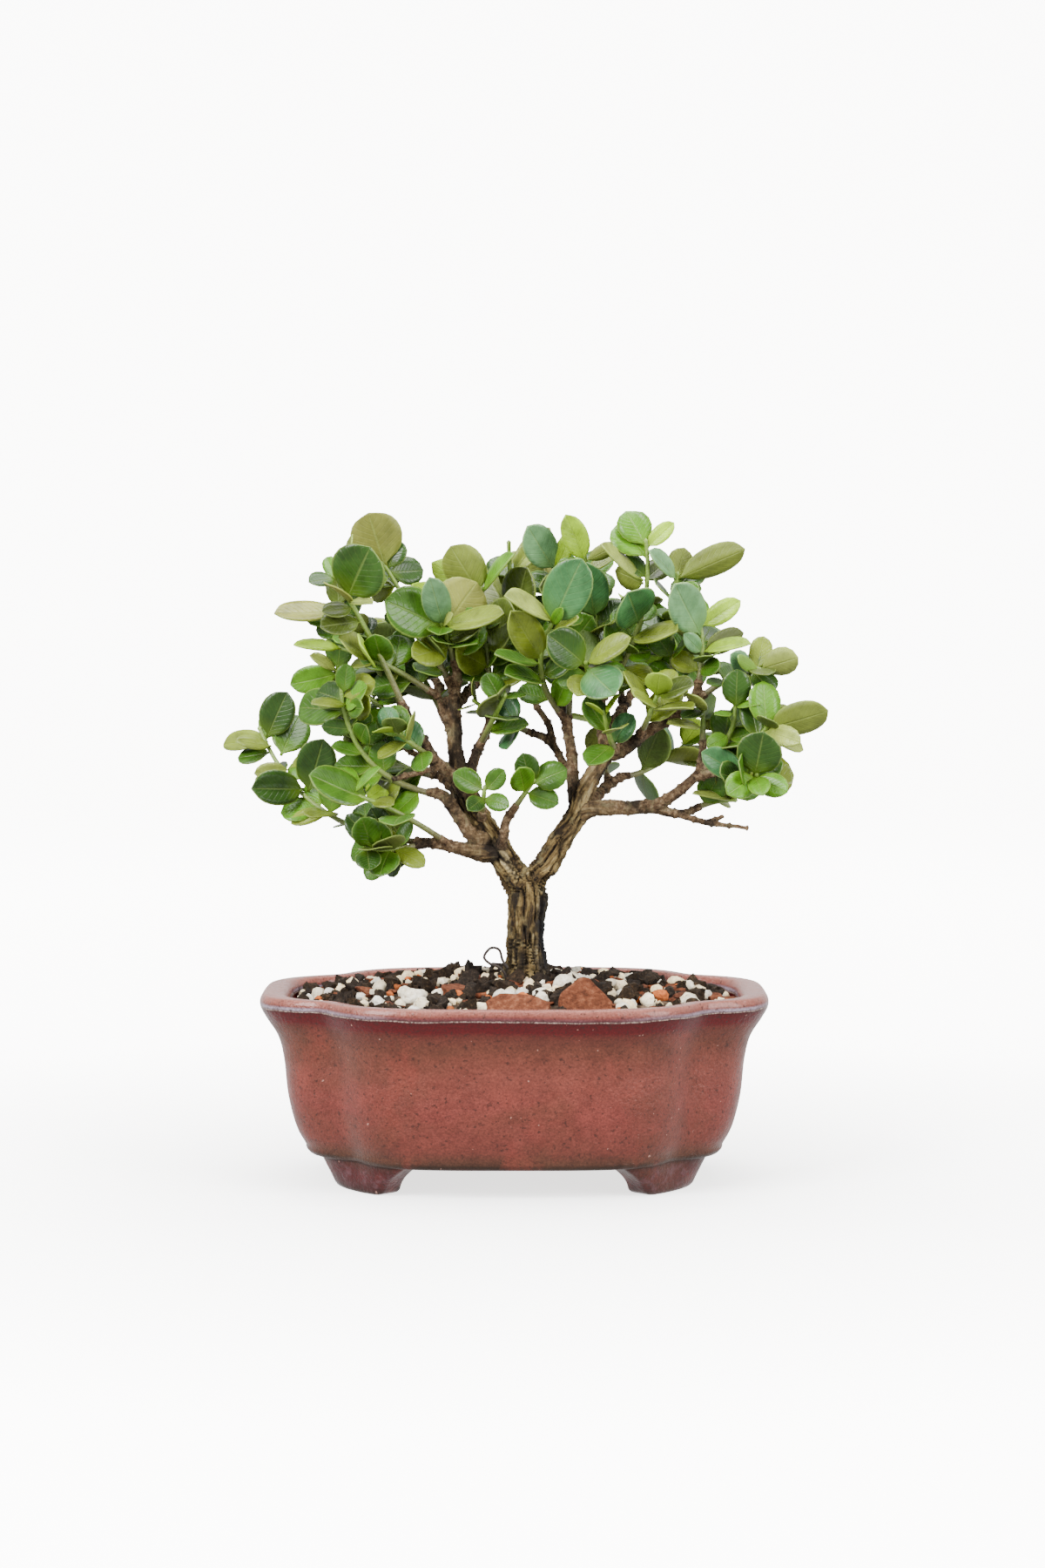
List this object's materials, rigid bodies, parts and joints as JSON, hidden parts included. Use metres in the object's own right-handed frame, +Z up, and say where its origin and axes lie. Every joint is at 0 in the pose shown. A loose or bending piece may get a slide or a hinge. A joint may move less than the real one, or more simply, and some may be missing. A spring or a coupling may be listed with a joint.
{
  "type": "natal plum bonsai",
  "caption": "Small natal plum tree grown as a bonsai, with a forked trunk and rounded glossy leaves, in a lobed red-brown glazed pot on bracket feet, kept as a living ornament.",
  "frame": {"origin": "on the surface the pot stands on, under the middle of the pot", "axes": "+Z up, +X along the length of the pot towards the right limb, +Y away from the front side"},
  "size_m": [0.1857, 0.106, 0.2041],
  "materials": {
    "glaze": "gloss",
    "soil": "matte",
    "screen": "matte",
    "bark": "matte",
    "leaf": "satin",
    "barkChip": "matte",
    "pumice": "matte",
    "clay": "matte"
  },
  "bodies": {
    "root": {"pot": "glaze", "soil": "soil", "screen_left": "screen", "screen_right": "screen", "chip_front": "barkChip", "chip_long": "barkChip", "chip_left": "barkChip", "stone_trunk": "pumice", "stone_front": "pumice", "stone_left": "pumice", "clay_front": "clay", "clay_right": "clay", "trunk_and_branches": "bark", "shoot_far_left": "leaf", "shoot_low_left": "leaf", "shoot_low_left_end": "leaf", "shoot_left_fan": "leaf", "shoot_tall_left": "leaf", "shoot_left_point": "leaf", "shoot_round_left": "leaf", "shoot_left_out": "leaf", "shoot_left_crown": "leaf", "shoot_centre_left": "leaf", "shoot_centre_top": "leaf", "shoot_hero": "leaf", "shoot_centre_right": "leaf", "shoot_top_left": "leaf", "shoot_top_right": "leaf", "shoot_right_tall": "leaf", "shoot_right_slant": "leaf", "shoot_right_upper": "leaf", "shoot_right_arch": "leaf", "shoot_right_mid": "leaf", "shoot_right_short": "leaf", "shoot_right_far": "leaf", "shoot_right_round": "leaf", "shoot_right_low_tip": "leaf", "shoot_centre_front": "leaf", "shoot_centre_low": "leaf", "shoot_left_pale": "leaf", "shoot_left_inside": "leaf", "shoot_left_front": "leaf", "shoot_middle_left": "leaf", "shoot_middle_front": "leaf", "shoot_middle_right": "leaf", "shoot_outer_front": "leaf", "shoot_back_left_a": "leaf", "shoot_back_left_b": "leaf", "shoot_back_centre_a": "leaf", "shoot_back_centre_c": "leaf", "shoot_back_centre_d": "leaf", "shoot_back_right_a": "leaf", "shoot_back_right_b": "leaf", "shoot_back_low_a": "leaf", "shoot_back_low_c": "leaf", "shoot_back_low_d": "leaf"}
  },
  "joints": []
}
